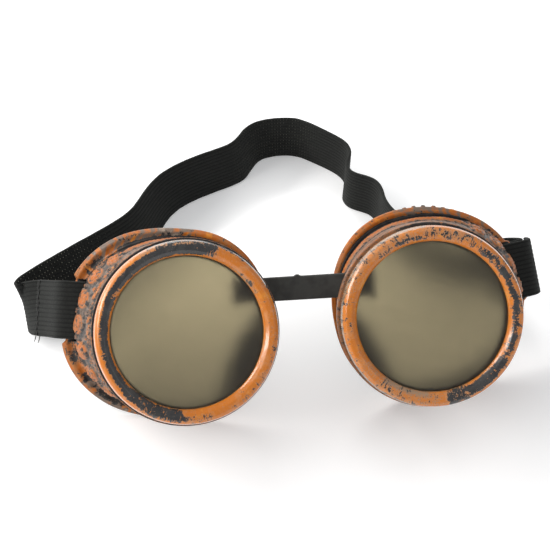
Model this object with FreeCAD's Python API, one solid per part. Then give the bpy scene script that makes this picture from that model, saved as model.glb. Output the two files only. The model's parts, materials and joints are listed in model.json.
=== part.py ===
import FreeCAD, Part
import math
import os
from FreeCAD import Vector

# Round two-cup welding goggles lying on a table, millimetres, +Z up, the lenses looking towards -Y and up.
# Each cup is drawn in its own cup frame: x towards the temple, y up the lens, z out of the lens along its
# axis, with z = 0 at the lip that frames the lens. The left cup is the mirror image of the right one.

# ---- Lens stack and screw bezel (radii and heights in the cup frame) ----
LENS_R = 25.0             # standard 50 mm round lens
APERTURE_R = 24.0         # lens left visible by the bezel's lip
LIP_BACK_Z = -1.7
POCKET_R = 25.35          # bezel pocket that holds the lens stack
DARK_LENS_T = 1.2
CLEAR_LENS_T = 0.8
SPACER_T = 0.25
GASKET_T = 0.42
STACK_GAP = 0.03
BEZEL_R = 29.3
BEZEL_CREST_R = 26.5
BEZEL_CREST_Z = 1.3
BEZEL_HEAD_BACK_Z = -5.2
BEZEL_SKIRT_R = 28.3
BEZEL_BACK_Z = -9.8
BEZEL_BORE_R = 26.95

# ---- Screw thread between bezel and collar ----
THREAD_PITCH = 2.2
THREAD_TURNS = 1.75
THREAD_HALF_BASE = 0.42
COLLAR_R = 26.2
COLLAR_CREST_R = 26.7
BEZEL_CREST_IN_R = 26.45
THREAD_START_Z = -9.1

# ---- Eye cup ----
COLLAR_FRONT_Z = -4.55
COLLAR_LIP_R = 23.6
COLLAR_BORE_R = 24.6
RECESS_R = 28.55          # wall of the recess that the bezel's skirt sinks into
SHOULDER_R = 29.9
SHOULDER_FRONT_Z = -5.9
WEB_FRONT_Z = -10.3
WEB_BACK_Z = -12.6
WALL_T = 1.8
WALL_START_Z = -10.8
FLANGE_NOSE_DEPTH = 28.3
FLANGE_TEMPLE_DEPTH = 42.9
FLANGE_T = 2.6
FLANGE_EDGE_R = 1.15
# half widths: temple, nose, top, bottom
FLANGE_HALF = (39.8, 30.2, 34.4, 30.8)
WALL_HALF = ((29.7, 29.7, 29.7, 29.7), (31.4, 28.6, 29.3, 28.9), (34.4, 28.2, 30.0, 28.5),
             (36.8, 28.5, 31.2, 28.8))
WALL_STEPS = (0.0, 0.25, 0.6, 1.0)
OVAL_POWER = 2.2
OVAL_POINTS = 24

# ---- Strap slot in the temple wall, bridge slot in the nose wall ----
STRAP_SLOT_Y = 4.5
STRAP_SLOT_L = 21.4
STRAP_SLOT_Z = (-41.0, -37.2)
STRAP_SLOT_X = (26.5, 38.3)
BRIDGE_POINT = (-28.5, 14.8, -16.0)
BRIDGE_W = 8.0
BRIDGE_T = 1.6
STRIP_EDGE_R = 0.5
# The nub's place along the strip, as a share of the gap between the cups.
NUB_SHARE = 0.42
# How far the slot's cutter reaches into the cup and out of it.
SLOT_REACH = 12.0
SLOT_LEAD = 6.0
BRIDGE_SLOT_CLEARANCE = 0.25
BRIDGE_TAILS = {"left": 13.0, "right": 13.6}
TAIL_STOP_L = 1.4
TAIL_STOP_H = 0.8
BRIDGE_JOIN_GAP = 0.3
NUB_L = 2.4
NUB_H = 0.9

# ---- How each cup lies: lens centre, heading (toe-in), lean back and roll, in degrees ----
CUPS = {
    "left": {"side": -1, "centre": (-38.6, 0.0, 46.85), "heading": 8.4, "lean": 48.2, "roll": -12.6},
    "right": {"side": 1, "centre": (38.6, 0.0, 46.6), "heading": -5.6, "lean": 43.8, "roll": 12.6},
}

# ---- Elastic headband ----
BAND_W = 20.0
BAND_T = 1.3
LOOP_END_GAP = 0.3
STITCH_COUNT = 9
STITCH_SIZE = (0.35, 1.3, 0.3)
# Loop round the temple rim, in the cup's x-z plane: sewn end, through the slot, back behind the rim.
LOOPS = {
    "left": [(50.3, -54.0), (45.5, -46.9), (43.4, -43.2), (41.4, -40.9), (38.6, -39.9), (33.6, -39.1),
             (29.6, -40.2), (28.2, -42.9), (29.7, -45.6), (33.8, -46.6), (38.0, -47.0), (41.8, -48.0),
             (44.9, -50.4), (49.0, -55.4)],
    "right": [(44.6, -51.5), (44.5, -46.6), (43.9, -43.2), (41.8, -40.7), (38.6, -39.9), (33.6, -39.1),
              (29.6, -40.2), (28.2, -42.9), (29.7, -45.6), (33.8, -46.5), (37.6, -46.6), (41.0, -47.3),
              (42.7, -49.4), (42.9, -52.0)],
}
# Band from each loop to the middle of the back: centre x, y, z, then the sideways part of its width's direction.
BANDS = {
    "left": [(-96.8, 43.2, 12.6, 0.00, 0.60), (-100.0, 45.3, 10.6, -0.07, 0.53),
             (-101.2, 47.1, 9.9, -0.10, 0.52), (-100.2, 49.0, 9.7, -0.12, 0.50),
             (-96.9, 51.8, 9.7, -0.14, 0.48), (-88.2, 58.2, 9.7, -0.20, 0.40),
             (-77.0, 66.6, 9.8, -0.23, 0.34), (-66.5, 74.4, 9.9, -0.25, 0.27),
             (-57.4, 83.6, 10.0, -0.26, 0.18), (-52.4, 93.6, 10.1, -0.26, 0.10),
             (-47.2, 102.0, 10.1, -0.18, 0.16), (-38.8, 108.8, 10.1, -0.08, 0.18),
             (-24.4, 115.8, 10.1, -0.08, 0.16), (-16.8, 120.4, 10.1, -0.16, 0.14),
             (-12.3, 127.4, 10.1, -0.17, 0.08), (-8.0, 131.8, 10.1, -0.10, 0.08),
             (-0.5, 133.9, 10.1, 0.00, 0.06)],
    "right": [(83.8, 45.6, 17.9, -0.15, 0.66), (81.6, 48.6, 15.2, -0.13, 0.56),
              (78.0, 50.4, 13.4, -0.10, 0.43), (72.5, 51.0, 12.0, -0.06, 0.30),
              (66.0, 52.0, 11.2, -0.02, 0.18), (60.0, 54.8, 10.7, 0.00, 0.08),
              (54.0, 59.4, 10.4, 0.02, 0.03), (48.2, 65.2, 10.3, 0.02, 0.01),
              (43.2, 71.6, 10.2, 0.02, 0.00), (39.8, 77.6, 10.2, 0.00, 0.00),
              (38.3, 83.2, 10.1, 0.00, 0.00), (37.9, 88.5, 10.1, 0.00, 0.00),
              (35.9, 93.4, 10.1, 0.00, 0.00), (31.2, 96.6, 10.1, 0.00, 0.00),
              (27.4, 99.4, 10.1, 0.00, 0.00), (26.2, 103.6, 10.1, 0.02, 0.00),
              (28.1, 110.4, 10.1, 0.03, 0.00), (27.6, 115.6, 10.1, 0.02, 0.02),
              (22.8, 122.0, 10.1, 0.00, 0.02), (15.8, 128.2, 10.1, 0.02, 0.03),
              (8.0, 133.2, 10.1, 0.02, 0.05), (0.0, 134.0, 10.1, 0.00, 0.06)],
}
BAND_STEP = 1.6
# The stitches lie this far from the sewn end and just clear of the elastic.
STITCH_SETBACK = 1.6
STITCH_CLEARANCE = 0.02
# Moves the whole model so that its box stands centred on the origin.
STAND = Vector(8.07, -56.9, -0.05)


def unit(v):
    return v.multiply(1.0 / v.Length)


def cup_axes(cup):
    """The cup frame's right, up and front directions."""
    heading, lean, roll = (math.radians(cup[k]) for k in ("heading", "lean", "roll"))
    front = Vector(math.sin(heading) * math.cos(lean), -math.cos(heading) * math.cos(lean), math.sin(lean))
    level = Vector(math.cos(heading), math.sin(heading), 0)
    rise = front.cross(level)
    right = level * math.cos(roll) + rise * math.sin(roll)
    up = rise * math.cos(roll) - level * math.sin(roll)
    return right, up, front


def cup_matrix(cup):
    right, up, front = cup_axes(cup)
    c = Vector(*cup["centre"])
    return FreeCAD.Matrix(right.x, up.x, front.x, c.x, right.y, up.y, front.y, c.y,
                          right.z, up.z, front.z, c.z, 0, 0, 0, 1)


def to_table(cup, point):
    """A point of the cup frame, in the table's frame."""
    right, up, front = cup_axes(cup)
    x, y, z = point
    return Vector(*cup["centre"]) + right * (x * cup["side"]) + up * y + front * z


def place_cup(shape, cup, mirror=True):
    """Stand a shape of the cup frame where that cup lies."""
    placed = shape.copy()
    if mirror and cup["side"] < 0:
        placed = placed.mirror(Vector(0, 0, 0), Vector(1, 0, 0))
    placed.Placement = FreeCAD.Placement(cup_matrix(cup)).multiply(placed.Placement)
    return placed


def revolved(profile):
    """A ring turned from (radius, z) points; a point with three values is an arc's middle."""
    edges = []
    here = profile[0]
    k = 1
    while k < len(profile):
        a = Vector(here[0], 0, here[1])
        if len(profile[k]) == 3:
            mid = Vector(profile[k][0], 0, profile[k][1])
            here = profile[k + 1]
            edges.append(Part.Arc(a, mid, Vector(here[0], 0, here[1])).toShape())
            k += 2
        else:
            here = profile[k]
            edges.append(Part.LineSegment(a, Vector(here[0], 0, here[1])).toShape())
            k += 1
    face = Part.Face(Part.Wire(edges))
    return face.revolve(Vector(0, 0, 0), Vector(0, 0, 1), 360)


def washer(r_in, r_out, z_back, z_front):
    body = Part.makeCylinder(r_out, z_front - z_back, Vector(0, 0, z_back))
    if r_in:
        body = body.cut(Part.makeCylinder(r_in, z_front - z_back, Vector(0, 0, z_back)))
    return body


def thread_ridge(base_r, crest_r):
    """A right-hand helical ridge whose triangular section stands from base_r to crest_r."""
    helix = Part.makeHelix(THREAD_PITCH, THREAD_PITCH * THREAD_TURNS, base_r)
    section = Part.makePolygon([Vector(base_r, 0, -THREAD_HALF_BASE), Vector(crest_r, 0, 0),
                                Vector(base_r, 0, THREAD_HALF_BASE), Vector(base_r, 0, -THREAD_HALF_BASE)])
    return Part.Wire(helix.Edges).makePipeShell([section], True, True)


def bezel_ring():
    body = revolved([
        (APERTURE_R, LIP_BACK_Z), (APERTURE_R, -0.7), (24.5, 0.45, "arc"), (25.4, 1.0),
        (BEZEL_CREST_R + 0.2, BEZEL_CREST_Z, "arc"), (28.0, 0.75), (29.0, -0.35, "arc"),
        (BEZEL_R, -1.8), (BEZEL_R, BEZEL_HEAD_BACK_Z + 0.4), (BEZEL_R - 0.4, BEZEL_HEAD_BACK_Z),
        (BEZEL_SKIRT_R, BEZEL_HEAD_BACK_Z), (BEZEL_SKIRT_R, BEZEL_BACK_Z),
        (BEZEL_BORE_R, BEZEL_BACK_Z), (BEZEL_BORE_R, COLLAR_FRONT_Z + 0.3),
        (POCKET_R, COLLAR_FRONT_Z + 0.3), (POCKET_R, LIP_BACK_Z), (APERTURE_R, LIP_BACK_Z)])
    ridge = thread_ridge(BEZEL_BORE_R + 0.1, BEZEL_CREST_IN_R)
    ridge.translate(Vector(0, 0, THREAD_START_Z + 0.25 + THREAD_PITCH / 2))
    return body.fuse(ridge)


def lens_stack():
    """The lenses and rings between the bezel's lip and the collar, front to back."""
    z = LIP_BACK_Z - STACK_GAP
    layers = [("dark_lens", 0, LENS_R, DARK_LENS_T), ("lens_spacer", 23.9, LENS_R, SPACER_T),
              ("clear_lens", 0, LENS_R, CLEAR_LENS_T), ("lens_gasket", 23.7, 25.1, GASKET_T)]
    stack = {}
    for name, r_in, r_out, thick in layers:
        stack[name] = washer(r_in, r_out, z - thick, z)
        z -= thick + STACK_GAP
    return stack


def flange_z(x):
    """Depth of the rear flange's middle plane, which slopes back towards the temple."""
    temple, nose = FLANGE_HALF[0], FLANGE_HALF[1]
    slope = (FLANGE_TEMPLE_DEPTH - FLANGE_NOSE_DEPTH) / (temple + nose)
    return -FLANGE_NOSE_DEPTH - slope * (x + nose)


def oval(half, step, grow=0.0, power=OVAL_POWER, lift=0.0):
    """A closed smooth outline, part of the way from the front plane to the flange's plane."""
    temple, nose, top, bottom = (h + grow for h in half)
    points = []
    for k in range(OVAL_POINTS):
        a = 2 * math.pi * k / OVAL_POINTS
        c, s = math.cos(a), math.sin(a)
        w = temple if c > 0 else nose
        h = top if s > 0 else bottom
        rho = (abs(c / w) ** power + abs(s / h) ** power) ** (-1.0 / power)
        x, y = rho * c, rho * s
        z = WALL_START_Z + step * (flange_z(x) - WALL_START_Z) + lift
        points.append(Vector(x, y, z))
    curve = Part.BSplineCurve()
    curve.interpolate(Points=points, PeriodicFlag=True)
    return Part.Wire(curve.toShape())


def wall_loft(grow, first_lift, last_step):
    sections = []
    for half, step in zip(WALL_HALF, WALL_STEPS):
        power = 2.0 + (OVAL_POWER - 2.0) * step
        last = step == WALL_STEPS[-1]
        sections.append(oval(half, last_step if last else step, grow, power, first_lift if step == 0 else 0.0))
    return Part.makeLoft(sections, True, False)


def flange():
    """The oval rear rim, in its sloping plane, with rounded edges."""
    slope = (flange_z(10) - flange_z(0)) / 10.0
    normal = unit(Vector(-slope, 0, 1))
    outer = Part.Face(oval(FLANGE_HALF, 1.0))
    outer.translate(normal * (-FLANGE_T / 2))
    plate = outer.extrude(normal * FLANGE_T)
    rim_edges = [e for e in plate.Edges if e.Length > 100]
    plate = plate.makeFillet(FLANGE_EDGE_R, rim_edges)
    inner = Part.Face(oval(WALL_HALF[-1], 1.0, -WALL_T))
    inner.translate(normal * (-FLANGE_T))
    return plate.cut(inner.extrude(normal * (2 * FLANGE_T)))


def cup_front():
    """Collar, recess and shoulder, turned in one piece."""
    return revolved([
        (COLLAR_LIP_R, COLLAR_FRONT_Z), (COLLAR_R, COLLAR_FRONT_Z), (COLLAR_R, WEB_FRONT_Z),
        (RECESS_R, WEB_FRONT_Z), (RECESS_R, SHOULDER_FRONT_Z),
        (SHOULDER_R - 0.5, SHOULDER_FRONT_Z), (SHOULDER_R - 0.15, SHOULDER_FRONT_Z - 0.15, "arc"),
        (SHOULDER_R, SHOULDER_FRONT_Z - 0.5), (SHOULDER_R, -10.2), (SHOULDER_R - 1.2, WEB_BACK_Z),
        (COLLAR_BORE_R, WEB_BACK_Z), (COLLAR_BORE_R, COLLAR_FRONT_Z - 1.4),
        (COLLAR_LIP_R, COLLAR_FRONT_Z - 1.4), (COLLAR_LIP_R, COLLAR_FRONT_Z)])


def eye_cup():
    """The cup shell without its thread, in the cup frame."""
    outside = wall_loft(0.0, 0.0, 1.0)
    inside = wall_loft(-WALL_T, 3.0, 1.05)
    shell = cup_front().fuse([outside.cut(inside), flange()])
    x0, x1 = STRAP_SLOT_X
    z0, z1 = STRAP_SLOT_Z
    slot = Part.makeBox(x1 - x0, STRAP_SLOT_L, z1 - z0, Vector(x0, STRAP_SLOT_Y - STRAP_SLOT_L / 2, z0))
    return shell.cut(slot)


def collar_thread():
    ridge = thread_ridge(COLLAR_R - 0.1, COLLAR_CREST_R)
    ridge.translate(Vector(0, 0, THREAD_START_Z + 0.25))
    return ridge


def strap_rows(name, cup):
    """The whole elastic from its sewn end to the middle of the back: centre and sideways part of its width."""
    up = cup_axes(cup)[1]
    rows = []
    for x, z in LOOPS[name]:
        p = to_table(cup, (x, STRAP_SLOT_Y, z))
        rows.append((p.x, p.y, p.z, up.x, up.y))
    return rows + BANDS[name]


def strap_stations(rows, first, last, skip):
    """Evenly spaced (centre, tangent, width direction) between two rows of one smooth curve through them all."""
    points = [Vector(*row[:3]) for row in rows]
    params = [0.0]
    for a, b in zip(points, points[1:]):
        params.append(params[-1] + (b - a).Length)
    curve = Part.BSplineCurve()
    curve.interpolate(Points=points, Parameters=params)
    length = curve.length(params[first], params[last]) - skip
    count = int(round(length / BAND_STEP))
    stations = []
    for k in range(count + 1):
        u = curve.parameterAtDistance(skip + length * k / count, params[first])
        row = min(sum(p <= u for p in params), len(rows) - 1) - 1
        t = (u - params[row]) / (params[row + 1] - params[row])
        wx, wy = (p + (q - p) * t for p, q in zip(rows[row][3:], rows[row + 1][3:]))
        across = Vector(wx, wy, math.sqrt(1 - wx * wx - wy * wy))
        stations.append((curve.value(u), curve.tangent(u)[0], across))
    return stations, length


def ribbon(stations):
    """A flat band of rectangular section swept through stations of (centre, tangent, width direction)."""
    sections = []
    for centre, tangent, across in stations:
        across = unit(across - tangent * across.dot(tangent))
        normal = tangent.cross(across)
        w, n = across * (BAND_W / 2), normal * (BAND_T / 2)
        corners = [centre - w - n, centre + w - n, centre + w + n, centre - w + n]
        sections.append(Part.makePolygon(corners + corners[:1]))
    band = Part.makeLoft(sections, True, True)
    return band if band.Volume > 0 else band.reversed()


def headband_loop(name, cup):
    """The sewn end: from its cut end, through the slot, round the rim and back beside itself."""
    stations, length = strap_stations(strap_rows(name, cup), 0, len(LOOPS[name]) - 1, 0.0)
    print(name, "loop length", round(length, 1))
    return ribbon(stations)


def headband(name, cup):
    """Half of the band, from the loop's end to the middle of the back."""
    rows = strap_rows(name, cup)
    stations, length = strap_stations(rows, len(LOOPS[name]) - 1, len(rows) - 1, LOOP_END_GAP)
    print(name, "band length", round(length, 1))
    return ribbon(stations)


def stitching(name, cup):
    """Short thread bars across the band, where the loop's end is sewn down."""
    (x0, z0), (x1, z1) = LOOPS[name][:2]
    a = Vector(x0, STRAP_SLOT_Y, z0)
    along = unit(Vector(x1 - x0, 0, z1 - z0))
    out = unit(Vector(-along.z, 0, along.x))
    if out.x < 0:
        out = out * -1
    length, width, height = STITCH_SIZE[1], STITCH_SIZE[0], STITCH_SIZE[2]
    bars = []
    for k in range(STITCH_COUNT):
        y = STRAP_SLOT_Y + BAND_W * ((k + 0.5) / STITCH_COUNT - 0.5)
        base = a + along * STITCH_SETBACK + out * (BAND_T / 2 + STITCH_CLEARANCE)
        bar = Part.makeBox(width, length, height, Vector(-width / 2, -length / 2, 0))
        turn = FreeCAD.Rotation(along, Vector(0, 1, 0), out, "ZXY")
        bar.Placement = FreeCAD.Placement(Vector(base.x, y, base.z), turn)
        bars.append(place_cup(bar, cup))
    return Part.makeCompound(bars)


def bridge_frame():
    """Where the strip meets each cup, and its directions along, across and through."""
    left = to_table(CUPS["left"], BRIDGE_POINT)
    right = to_table(CUPS["right"], BRIDGE_POINT)
    along = unit(right - left)
    up = cup_axes(CUPS["left"])[1] + cup_axes(CUPS["right"])[1]
    across = unit(up - along * up.dot(along))
    return left, right, along, across, along.cross(across)


def strip_box(start, along, across, through, length, width, thick):
    """A box from start along the strip, centred across and through it."""
    box = Part.makeBox(length, width, thick, Vector(0, -width / 2, -thick / 2))
    turn = FreeCAD.Rotation(along, across, through, "XYZ")
    box.Placement = FreeCAD.Placement(start, turn)
    return box


def bridge_pieces():
    """The strip between the cups and its two tails inside them."""
    left, right, along, across, through = bridge_frame()
    span = (right - left).Length
    centre = strip_box(left, along, across, through, span, BRIDGE_W, BRIDGE_T)
    centre = centre.makeFillet(STRIP_EDGE_R, [e for e in centre.Edges if abs(e.Length - span) < 1e-6])
    nub_at = left + along * (span * NUB_SHARE) + across * (BRIDGE_W / 2 + NUB_H / 2 - 0.2)
    nub = strip_box(nub_at, along, across, through, NUB_L, NUB_H + 0.4, BRIDGE_T)
    pieces = {"bridge_strip": centre.fuse(nub)}
    for name, mouth, way in (("left", left, -1), ("right", right, 1)):
        length = BRIDGE_TAILS[name]
        start = mouth + along * (way * BRIDGE_JOIN_GAP)
        if way < 0:
            start = start - along * length
        tail = strip_box(start, along, across, through, length, BRIDGE_W, BRIDGE_T)
        end = start + along * (length - TAIL_STOP_L if way > 0 else 0)
        stop = strip_box(end, along, across, through, TAIL_STOP_L, BRIDGE_W + 2 * TAIL_STOP_H, BRIDGE_T)
        pieces["bridge_tail_" + name] = tail.fuse(stop).removeSplitter()
    return pieces


def bridge_slot(name):
    left, right, along, across, through = bridge_frame()
    mouth, way = (left, -1) if name == "left" else (right, 1)
    start = mouth - along * SLOT_LEAD if way > 0 else mouth - along * SLOT_REACH
    grow = 2 * BRIDGE_SLOT_CLEARANCE
    return strip_box(start, along, across, through, SLOT_REACH + SLOT_LEAD, BRIDGE_W + grow, BRIDGE_T + grow)


def build():
    pieces = bridge_pieces()
    shell, bezel, stack, thread = eye_cup(), bezel_ring(), lens_stack(), collar_thread()
    for name, cup in CUPS.items():
        cup_shell = place_cup(shell, cup).fuse(place_cup(thread, cup, mirror=False))
        pieces["eye_cup_" + name] = cup_shell.cut(bridge_slot(name))
        pieces["bezel_ring_" + name] = place_cup(bezel, cup, mirror=False)
        for layer, shape in stack.items():
            pieces[layer + "_" + name] = place_cup(shape, cup, mirror=False)
        pieces["headband_loop_" + name] = headband_loop(name, cup)
        pieces["loop_stitching_" + name] = stitching(name, cup)
        pieces["headband_" + name] = headband(name, cup)
    return pieces


def show_joint_places():
    """Print the joint axes, in the model's final place."""
    left, right, along, across, _ = bridge_frame()
    print("bridge mouths", left + STAND, right + STAND, "along", along, "across", across)
    for name, cup in CUPS.items():
        print(name, "lens centre", Vector(*cup["centre"]) + STAND, "front", cup_axes(cup)[2])


def main():
    os.makedirs("parts", exist_ok=True)
    pieces = build()
    for name, shape in pieces.items():
        shape.translate(STAND)
        shape.exportStep("parts/" + name + ".step")
        box = shape.BoundBox
        print(f"{name:22s} solids {len(shape.Solids)} valid {shape.isValid()} volume {shape.Volume:9.1f}"
              f" x {box.XMin:7.2f} {box.XMax:7.2f} y {box.YMin:7.2f} {box.YMax:7.2f}"
              f" z {box.ZMin:6.2f} {box.ZMax:6.2f}")
    show_joint_places()


main()
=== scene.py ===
import bmesh
import bpy
import json
import math
import numpy as np
from contextlib import contextmanager
from mathutils import Matrix, Vector


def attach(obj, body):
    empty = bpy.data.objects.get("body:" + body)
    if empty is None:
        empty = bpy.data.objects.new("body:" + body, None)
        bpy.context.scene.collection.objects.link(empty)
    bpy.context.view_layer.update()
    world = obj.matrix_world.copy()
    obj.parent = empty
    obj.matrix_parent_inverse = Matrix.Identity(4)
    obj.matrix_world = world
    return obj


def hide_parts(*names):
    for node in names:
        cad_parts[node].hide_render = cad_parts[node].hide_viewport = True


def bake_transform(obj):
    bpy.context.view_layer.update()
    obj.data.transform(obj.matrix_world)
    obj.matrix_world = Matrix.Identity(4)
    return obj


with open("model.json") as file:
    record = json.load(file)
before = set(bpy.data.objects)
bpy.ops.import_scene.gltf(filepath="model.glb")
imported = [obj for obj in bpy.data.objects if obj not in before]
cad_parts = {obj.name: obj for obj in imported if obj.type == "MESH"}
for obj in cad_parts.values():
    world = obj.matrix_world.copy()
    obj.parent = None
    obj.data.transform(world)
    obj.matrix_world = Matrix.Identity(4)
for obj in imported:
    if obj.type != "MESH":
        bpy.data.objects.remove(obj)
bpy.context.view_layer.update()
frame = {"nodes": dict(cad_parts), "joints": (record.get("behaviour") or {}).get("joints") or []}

# Lengths in the cup and strap tables are millimetres; MM turns them into the scene's metres.
MM = 0.001
TAU = 2 * math.pi
# Each cup has its own frame: x towards the temple, y up the lens, z out of the lens, all in millimetres.
# Its origin is the lens centre at the bezel's inner lip.
# "seen" angles run counter-clockwise from the viewer's right, level with the table.
CUPS = {
    "left": {"side": -1, "heading": 8.4, "lean": 48.2, "roll": -12.6},
    "right": {"side": 1, "heading": -5.6, "lean": 43.8, "roll": 12.6},
}

# ---- Thread on the collar and in the bezel ----
PITCH = 2.2
THREAD_TURNS = 1.75
THREAD_DEPTH = 0.5
THREAD_HALF = 0.42
COLLAR_R = 26.2
BEZEL_BORE_R = 26.95
# Where each thread starts, in z.
COLLAR_THREAD_Z = -8.85
BEZEL_THREAD_Z = -7.75

# ---- Cup shell ----
# Half sizes are towards the temple, the nose, the brow and the cheek.
FLANGE_HALF = (39.8, 30.2, 34.4, 30.8)
# The outer wall's half sizes at each of these shares of its depth.
WALL_HALF = ((29.7, 29.7, 29.7, 29.7), (31.4, 28.6, 29.3, 28.9), (34.4, 28.2, 30.0, 28.5),
             (36.8, 28.5, 31.2, 28.8))
WALL_STEPS = (0.0, 0.25, 0.6, 1.0)
WALL_START_Z = -10.8
WALL_T = 1.8
FLANGE_NOSE_DEPTH = 28.3
FLANGE_TEMPLE_DEPTH = 42.9
FLANGE_T = 2.6
OVAL_POWER = 2.2
# The slot for the elastic: its middle in x, y and z, and its size.
STRAP_SLOT_Y = 4.5
STRAP_CUT_AT = (32.5, STRAP_SLOT_Y, -39.1)
STRAP_CUT = (11.8, 21.4, 3.8)

# ---- Elastic ----
BAND_W = 20.0
BAND_T = 1.3
RIBS = 13
RIB_H = 0.13
# From the frame in which the bands' rows are given to the row frame.
STAND = Vector((8.07, -56.9, -0.05))
# The loops' centre lines in their cup's frame, x and z, from the sewn end to where the band goes on.
LOOPS = {
    "left": [(50.3, -54.0), (45.5, -46.9), (43.4, -43.2), (41.4, -40.9), (38.6, -39.9), (33.6, -39.1),
             (29.6, -40.2), (28.2, -42.9), (29.7, -45.6), (33.8, -46.6), (38.0, -47.0), (41.8, -48.0),
             (44.9, -50.4), (49.0, -55.4)],
    "right": [(44.6, -51.5), (44.5, -46.6), (43.9, -43.2), (41.8, -40.7), (38.6, -39.9), (33.6, -39.1),
              (29.6, -40.2), (28.2, -42.9), (29.7, -45.6), (33.8, -46.5), (37.6, -46.6), (41.0, -47.3),
              (42.7, -49.4), (42.9, -52.0)],
}
# The bands' centre lines, x, y and z, and the sideways lean of their width, up to the middle of the back.
BANDS = {
    "left": [(-96.2, 43.4, 12.6, 0.0, 0.6), (-98.4, 45.3, 10.6, -0.07, 0.53),
             (-99.2, 47.1, 9.9, -0.1, 0.52), (-98.5, 49.0, 9.7, -0.12, 0.5),
             (-95.9, 51.8, 9.7, -0.14, 0.48), (-88.2, 58.2, 9.7, -0.2, 0.4),
             (-77.0, 66.6, 9.8, -0.23, 0.34), (-66.5, 74.4, 9.9, -0.25, 0.27),
             (-57.4, 83.6, 10.0, -0.26, 0.18), (-52.4, 93.6, 10.1, -0.26, 0.1),
             (-47.2, 102.0, 10.1, -0.18, 0.16), (-38.8, 108.8, 10.1, -0.08, 0.18),
             (-24.4, 115.8, 10.1, -0.08, 0.16), (-16.8, 120.4, 10.1, -0.16, 0.14),
             (-12.3, 127.4, 10.1, -0.17, 0.08), (-8.0, 131.8, 10.1, -0.1, 0.08),
             (0.05, 134.0, 10.1, 0.0, 0.06)],
    "right": [(83.8, 45.6, 17.9, -0.15, 0.66), (81.6, 48.6, 15.2, -0.13, 0.56),
              (78.0, 50.4, 13.4, -0.1, 0.43), (72.5, 51.0, 12.0, -0.06, 0.3),
              (66.0, 52.0, 11.2, -0.02, 0.18), (60.0, 54.8, 10.7, 0.0, 0.08),
              (54.0, 59.4, 10.4, 0.02, 0.03), (48.2, 65.2, 10.3, 0.02, 0.01),
              (43.2, 71.6, 10.2, 0.02, 0.0), (39.8, 77.6, 10.2, 0.0, 0.0),
              (38.3, 83.2, 10.1, 0.0, 0.0), (37.9, 88.5, 10.1, 0.0, 0.0),
              (35.9, 93.4, 10.1, 0.0, 0.0), (31.2, 96.6, 10.1, 0.0, 0.0),
              (27.4, 99.4, 10.1, 0.0, 0.0), (26.2, 103.6, 10.1, 0.02, 0.0),
              (28.1, 110.4, 10.1, 0.03, 0.0), (27.6, 115.6, 10.1, 0.02, 0.02),
              (22.8, 122.0, 10.1, 0.0, 0.02), (15.8, 128.2, 10.1, 0.02, 0.03),
              (8.0, 133.2, 10.1, 0.02, 0.05), (0.0, 134.0, 10.1, 0.0, 0.06)],
}

# ---- Bridge ----
BRIDGE_POINT = (-28.5, 14.8, -16.0)
BRIDGE_W = 8.0
BRIDGE_T = 1.6
# The slot for it in each cup is this long and this much larger than the strip.
BRIDGE_CUT_LENGTH = 18.0
BRIDGE_PLAY = 0.5
# The nub on the strip's top edge, this far left of the middle.
NUB_AT = 1.6
BRIDGE_TAILS = {"left": 13.3, "right": 13.9}


# ---- Frames ----
def cup_axes(name):
    cup = CUPS[name]
    heading, lean, roll = (math.radians(cup[k]) for k in ("heading", "lean", "roll"))
    front = Vector((math.sin(heading) * math.cos(lean), -math.cos(heading) * math.cos(lean), math.sin(lean)))
    level = Vector((math.cos(heading), math.sin(heading), 0))
    rise = front.cross(level)
    right = level * math.cos(roll) + rise * math.sin(roll)
    up = rise * math.cos(roll) - level * math.sin(roll)
    return right, up, front


def cup_centre(name):
    """The lens centre, from the bezel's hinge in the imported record."""
    joint = next(j for j in frame["joints"] if j["name"] == name + "_bezel_turn")
    return Vector(joint["pos_m"])


def cup_matrix(name):
    right, up, front = cup_axes(name)
    c = cup_centre(name)
    return Matrix(((right.x, up.x, front.x, c.x), (right.y, up.y, front.y, c.y),
                   (right.z, up.z, front.z, c.z), (0, 0, 0, 1)))


def to_table(name, point):
    """A point of the cup frame, in millimetres, as a point of the row frame in millimetres."""
    right, up, front = cup_axes(name)
    x, y, z = point
    return cup_centre(name) / MM + right * (x * CUPS[name]["side"]) + up * y + front * z


# ---- Mesh helpers ----
def wrapped(angle):
    return np.mod(angle + np.pi, TAU) - np.pi


def polar(r, angle, z):
    """Points at a radius, an angle and a height."""
    r, angle, z = np.broadcast_arrays(r, angle, z)
    return np.stack([r * np.cos(angle), r * np.sin(angle), z], -1)


def run_along(path):
    """The length so far at each point of a path."""
    return np.concatenate([[0], np.cumsum(np.linalg.norm(np.diff(path, axis=0), axis=1))])


def unit(vectors):
    return vectors / np.linalg.norm(vectors, axis=1)[:, None]


def ease(low, high, x):
    t = np.clip((np.asarray(x, float) - low) / (high - low), 0, 1)
    return t * t * (3 - 2 * t)


def hill(x, width):
    """1 at x = 0, falling smoothly to 0 away from it."""
    return np.exp(-(np.asarray(x, float) / width) ** 2)


# Factors of the hash behind the noise.
HASH_CELL = np.array([374761393, 668265263, 2147483647])
HASH_SEED = 144665
HASH_MIX = 1274126177
WORD = 0xFFFFFFFF


def value_noise(p, seed):
    """Smooth repeatable noise from -1 to 1 at points of shape (..., 3), with features about a unit across."""
    p = np.asarray(p, float)
    cell = np.floor(p).astype(np.int64)
    f = p - cell
    f = f * f * (3 - 2 * f)
    total = np.zeros(p.shape[:-1])
    for corner in np.ndindex(2, 2, 2):
        h = ((cell + np.array(corner)) @ HASH_CELL + seed * HASH_SEED) & WORD
        h = ((h ^ (h >> 13)) * HASH_MIX) & WORD
        h = h ^ (h >> 16)
        weight = np.ones(p.shape[:-1])
        for axis in range(3):
            weight = weight * (f[..., axis] if corner[axis] else 1 - f[..., axis])
        total += weight * (h / WORD * 2 - 1)
    return total


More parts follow.
